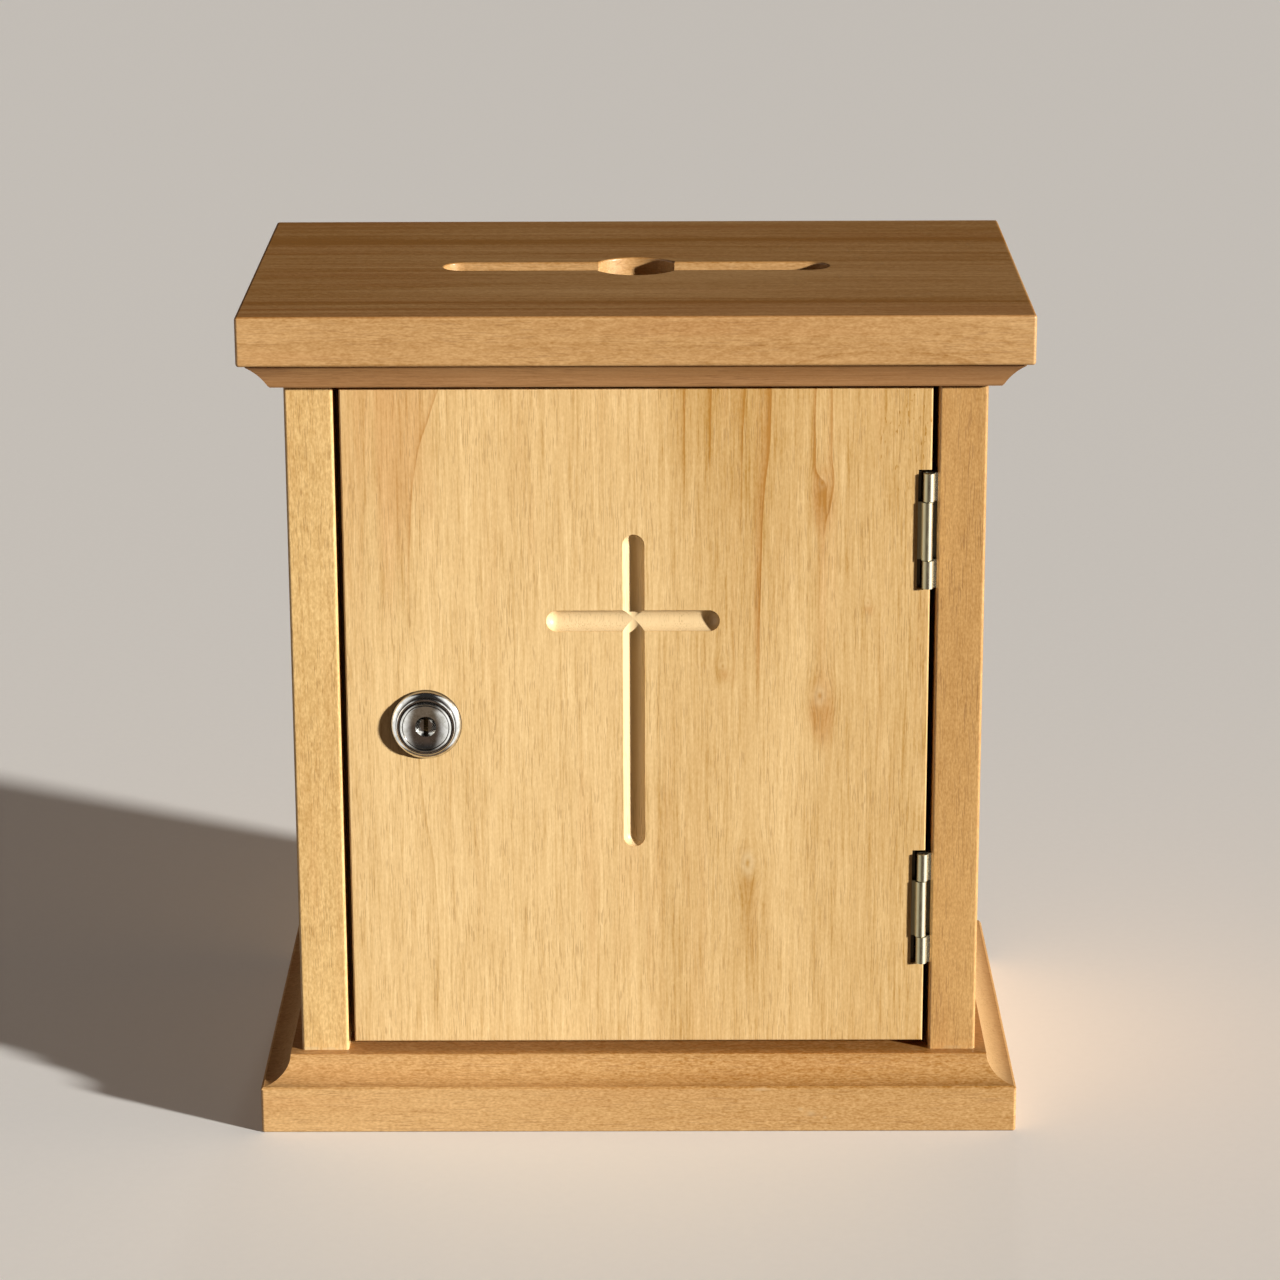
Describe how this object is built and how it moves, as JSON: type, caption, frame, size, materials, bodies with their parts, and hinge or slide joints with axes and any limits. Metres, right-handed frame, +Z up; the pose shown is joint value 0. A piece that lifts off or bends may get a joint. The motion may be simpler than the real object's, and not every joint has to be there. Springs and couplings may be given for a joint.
{
  "type": "donation box",
  "caption": "Table-top wooden donation box with a note and coin slot in its overhanging lid, a stepped base, and a hinged front door with an engraved cross and a cam lock.",
  "frame": {"origin": "under the middle of the box, on the plane that the base board stands on", "axes": "+Z up; the door faces -Y, and the lid's, base's and case's flat back faces +Y; +X points to the hinge side, on the right seen from the front"},
  "size_m": [0.25, 0.155, 0.275],
  "materials": {
    "lid_wood": "clear satin lacquer over light hardwood",
    "base_wood": "clear satin lacquer over light hardwood",
    "case_wood": "clear satin lacquer over light hardwood",
    "trim_wood": "clear satin lacquer over light hardwood",
    "door_wood": "clear satin lacquer over edge-glued light hardwood staves",
    "back_ply": "thin lacquer over plywood",
    "dowel_wood": "bare beech",
    "chrome": "bright chrome plate",
    "hinge_brass": "antique brass plate, lightly polished",
    "lock_brass": "bare stamped brass",
    "pin_steel": "brass-washed steel",
    "zinc_steel": "bright zinc plate",
    "spring_steel": "bare spring wire"
  },
  "bodies": {
    "case": {"lid_board": "lid_wood", "base_board": "base_wood", "side_panel_left": "case_wood", "side_panel_right": "case_wood", "back_panel": "back_ply", "top_rail_front": "case_wood", "cove_trim_front": "trim_wood", "cove_trim_left": "trim_wood", "cove_trim_right": "trim_wood", "door_stop_strip": "case_wood", "lid_dowels": "dowel_wood", "rail_dowels": "dowel_wood", "base_screws": "zinc_steel", "back_panel_screws": "zinc_steel", "stop_strip_screws": "zinc_steel", "lower_hinge_frame_leaf": "hinge_brass", "lower_hinge_pin": "pin_steel", "lower_hinge_frame_screws": "hinge_brass", "upper_hinge_frame_leaf": "hinge_brass", "upper_hinge_pin": "pin_steel", "upper_hinge_frame_screws": "hinge_brass"},
    "door": {"door_panel": "door_wood", "lock_housing": "chrome", "lock_nut": "zinc_steel", "lower_hinge_door_leaf": "hinge_brass", "lower_hinge_door_screws": "hinge_brass", "upper_hinge_door_leaf": "hinge_brass", "upper_hinge_door_screws": "hinge_brass"},
    "lock": {"lock_plug": "chrome", "lock_wafers": "lock_brass", "lock_wafer_springs": "spring_steel", "lock_cam": "zinc_steel", "lock_cam_washer": "zinc_steel", "lock_cam_screw": "zinc_steel"}
  },
  "joints": [
    {"name": "door_hinge", "type": "hinge", "parent": "case", "child": "door", "pos_m": [0.0929, -0.0643, 0.13795], "axis": [0, 0, 1], "range_deg": [0, 180]},
    {"name": "lock_turn", "type": "hinge", "parent": "door", "child": "lock", "pos_m": [-0.0683, -0.064, 0.1376], "axis": [0, 1, 0], "range_deg": [0, 90]}
  ]
}
